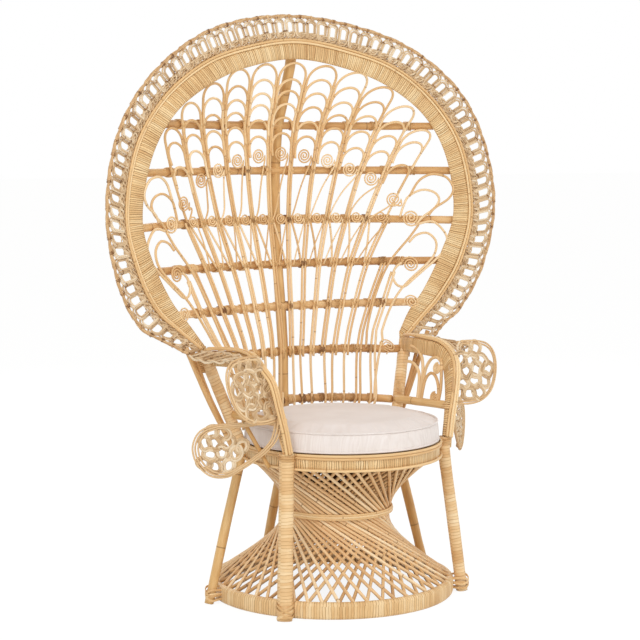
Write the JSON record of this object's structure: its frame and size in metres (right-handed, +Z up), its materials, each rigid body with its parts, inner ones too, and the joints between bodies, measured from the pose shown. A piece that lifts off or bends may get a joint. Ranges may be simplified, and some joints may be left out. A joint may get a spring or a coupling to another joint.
{
  "type": "peacock chair",
  "caption": "High-backed woven rattan armchair with a fan-shaped back, an openwork hoop, a twisted hourglass base and a loose round seat cushion.",
  "frame": {"origin": "on the floor under the middle of the chair's outline", "axes": "+Z up, -Y the way the sitter faces, +X to the right of someone looking at the front"},
  "size_m": [1.2188, 0.674, 1.5005],
  "materials": {
    "natural_rattan": "satin",
    "wrapped_rattan": "satin",
    "peeled_cane": "matte",
    "dark_cane": "satin",
    "cushion_cover": "matte"
  },
  "bodies": {
    "chair": {"base_ring": "wrapped_rattan", "seat_panel": "peeled_cane", "seat_bar": "dark_cane", "outer_weave": "natural_rattan", "inner_weave": "dark_cane", "seat_hoop": "wrapped_rattan", "front_leg_right": "wrapped_rattan", "front_leg_left": "wrapped_rattan", "side_leg_right": "wrapped_rattan", "side_leg_left": "wrapped_rattan", "back_leg": "wrapped_rattan", "front_foot_binding_right": "peeled_cane", "front_foot_binding_left": "peeled_cane", "side_foot_binding_right": "peeled_cane", "side_foot_binding_left": "peeled_cane", "back_foot_binding": "peeled_cane", "arm_band_right": "wrapped_rattan", "arm_band_left": "wrapped_rattan", "rear_post_right": "wrapped_rattan", "rear_post_left": "wrapped_rattan", "hoop_band": "wrapped_rattan", "hoop_bead": "natural_rattan", "rim_lattice": "peeled_cane", "back_rail_1": "dark_cane", "back_rail_2": "dark_cane", "back_rail_3": "dark_cane", "back_rail_4": "dark_cane", "back_rail_5": "dark_cane", "back_rail_6": "dark_cane", "seat_rail": "dark_cane", "spine": "wrapped_rattan", "side_rail_right": "wrapped_rattan", "side_rail_left": "wrapped_rattan", "fan_arch_left_6": "natural_rattan", "fan_arch_left_5": "natural_rattan", "fan_arch_left_4": "natural_rattan", "fan_arch_left_3": "natural_rattan", "fan_arch_left_2": "natural_rattan", "fan_arch_left_1": "natural_rattan", "fan_arch_centre": "natural_rattan", "fan_arch_right_1": "natural_rattan", "fan_arch_right_2": "natural_rattan", "fan_arch_right_3": "natural_rattan", "fan_arch_right_4": "natural_rattan", "fan_arch_right_5": "natural_rattan", "fan_arch_right_6": "natural_rattan", "back_spokes_right": "natural_rattan", "back_spokes_left": "natural_rattan", "arm_brace_right": "dark_cane", "arm_brace_left": "dark_cane", "arm_border_right": "peeled_cane", "arm_border_left": "peeled_cane", "ear_panel_right": "peeled_cane", "ear_panel_left": "peeled_cane", "lobe_panel_right": "peeled_cane", "lobe_panel_left": "peeled_cane", "arm_panel_right": "natural_rattan", "arm_panel_left": "natural_rattan"},
    "cushion": {"seat_cushion": "cushion_cover"}
  },
  "joints": [
    {"name": "cushion_lift", "type": "slide", "parent": "chair", "child": "cushion", "axis": [0, 0, 1], "range_m": [0, 0.15]}
  ]
}
